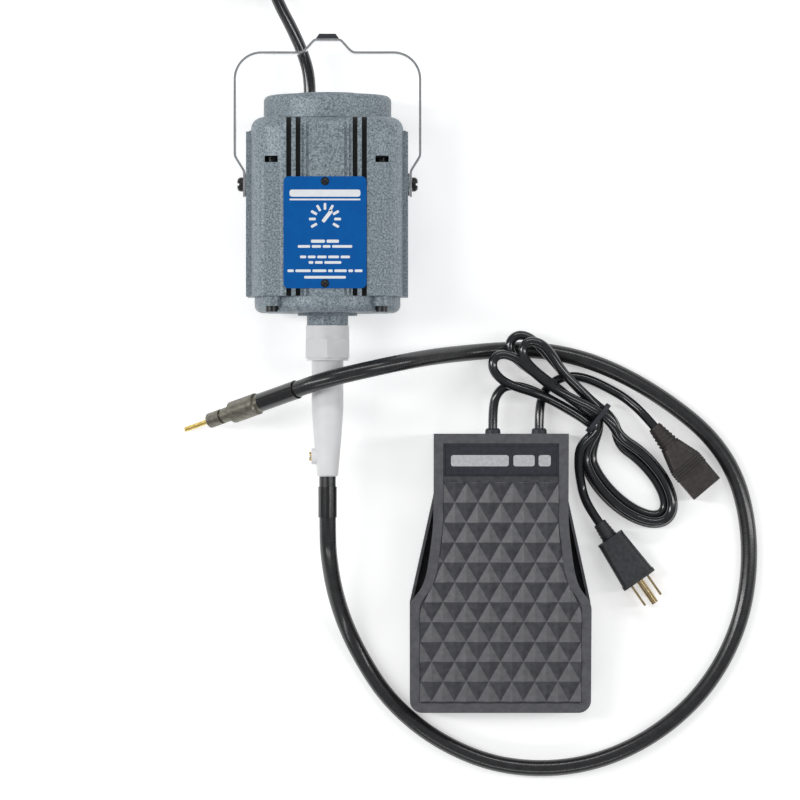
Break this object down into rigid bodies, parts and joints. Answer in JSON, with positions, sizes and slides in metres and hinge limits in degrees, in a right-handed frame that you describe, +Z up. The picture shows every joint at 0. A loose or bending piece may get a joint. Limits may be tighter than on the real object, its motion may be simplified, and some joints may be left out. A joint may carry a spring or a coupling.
{
  "type": "rotary tool with flex shaft",
  "caption": "Hang-up electric motor with bail, long flexible drive shaft ending in a keyed hand connector, and a sprung foot speed control with bundled mains cord.",
  "frame": {"origin": "on the table, under the middle of the box around the motor and foot control without the free cords", "axes": "+X to the right across motor and foot control, +Y along the motor from its drive end to its bail, +Z up from the table"},
  "size_m": [0.3929, 0.6563, 0.0982],
  "materials": {
    "hammertone": "grey hammertone enamel on a casting",
    "zinc_screw": "zinc plated steel",
    "plate_blue": "blue printed plate",
    "dark_screw": "blackened steel",
    "bright_strip": "bright plated steel strip",
    "pad_black": "dark rubber",
    "lamination": "stacked laminations",
    "copper": "enamelled copper",
    "shaft_steel": "ground steel",
    "bearing_steel": "polished bearing steel",
    "fan_plastic": "moulded plastic",
    "carbon": "carbon graphite",
    "brass": "turned brass",
    "black_cap": "moulded phenolic",
    "white_plastic": "light grey moulded plastic",
    "sheath_rubber": "satin black sheath",
    "cable_steel": "wound steel wire",
    "shrink_black": "glossy black sleeve",
    "olive_metal": "dark oiled steel",
    "key_brass": "brass coloured key",
    "cord_black": "glossy black cord",
    "plug_black": "moulded black plug",
    "pin_brass": "brass blades",
    "pedal_plastic": "dark charcoal plastic",
    "tread_plastic": "charcoal tread",
    "foot_rubber": "rubber",
    "board_green": "circuit board",
    "socket_brown": "brownish black moulding"
  },
  "bodies": {
    "motor": {"motor_housing": "hammertone", "top_cover": "hammertone", "lower_end_bell": "hammertone", "through_bolts": "dark_screw", "cover_screws": "zinc_screw", "nameplate": "plate_blue", "nameplate_screws": "dark_screw", "bail_screws": "dark_screw", "stator_core": "lamination", "field_coils": "copper", "bearing_outer_rings": "bearing_steel", "bearing_balls": "bearing_steel", "brush_holders": "brass", "carbon_brushes": "carbon", "brush_springs": "zinc_screw", "brush_caps": "black_cap", "connector_sleeve": "white_plastic", "sleeve_screw": "brass", "sheath": "sheath_rubber", "drive_cable": "cable_steel", "sheath_ring_motor": "shrink_black", "sheath_ring_hand": "shrink_black", "hand_connector": "olive_metal", "cord_grommet": "pad_black", "motor_cord": "cord_black", "motor_cord_coil": "cord_black", "coil_tie": "pad_black", "motor_plug": "plug_black", "motor_plug_pins": "pin_brass"},
    "bail": {"bail_hanger": "bright_strip", "hanger_pad": "pad_black"},
    "armature": {"armature_shaft": "shaft_steel", "armature_core": "lamination", "armature_windings": "copper", "commutator": "copper", "cooling_fan": "fan_plastic", "bearing_inner_rings": "bearing_steel", "drive_coupling": "shaft_steel"},
    "nut": {"connector_nut": "white_plastic"},
    "key": {"key_tip": "key_brass"},
    "foot_control": {"pedal_base": "pedal_plastic", "rubber_feet": "foot_rubber", "base_screws": "zinc_screw", "hinge_pin": "shaft_steel", "return_spring": "zinc_screw", "circuit_board": "board_green", "slide_potentiometer": "zinc_screw", "cord_glands": "pad_black", "mains_cord": "cord_black", "mains_hank": "cord_black", "hank_tie": "pad_black", "mains_plug": "plug_black", "mains_plug_blades": "pin_brass", "socket_lead": "cord_black", "socket_connector": "socket_brown", "socket_contacts": "pin_brass"},
    "treadle": {"treadle": "pedal_plastic", "tread_pad": "tread_plastic"},
    "plunger": {"plunger": "black_cap"}
  },
  "joints": [
    {"name": "armature_spin", "type": "hinge", "parent": "motor", "child": "armature", "pos_m": [-0.0574, 0.1251, 0.048], "axis": [0, -1, 0], "continuous": true},
    {"name": "key_spin", "type": "hinge", "parent": "motor", "child": "key", "pos_m": [-0.10105, -0.01822, 0.0401], "axis": [-0.7817, -0.2761, -0.5592], "continuous": true},
    {"name": "bail_swing", "type": "hinge", "parent": "motor", "child": "bail", "pos_m": [-0.0574, 0.1251, 0.048], "axis": [1, 0, 0], "range_deg": [0, 110]},
    {"name": "nut_turn", "type": "hinge", "parent": "motor", "child": "nut", "pos_m": [-0.0574, 0.0201, 0.048], "axis": [0, 1, 0], "range_deg": [0, 360]},
    {"name": "foot_control_lift", "type": "slide", "parent": "motor", "child": "foot_control", "axis": [0, 0, 1], "range_m": [0, 0.15]},
    {"name": "treadle_press", "type": "hinge", "parent": "foot_control", "child": "treadle", "pos_m": [0.0568, -0.2161, 0.02], "axis": [1, 0, 0], "range_deg": [-6, 0], "stiffness_Nm_per_rad": 12, "springref_deg": 4.58},
    {"name": "plunger_slide", "type": "slide", "parent": "foot_control", "child": "plunger", "axis": [0, 0, 1], "range_m": [-0.0135, 0.0005], "deforming": ["return_spring"]}
  ],
  "couplings": [
    {"joint": "key_spin", "follows": "armature_spin", "ratio": 1},
    {"joint": "plunger_slide", "follows": "treadle_press", "m_per_rad": 0.122}
  ]
}
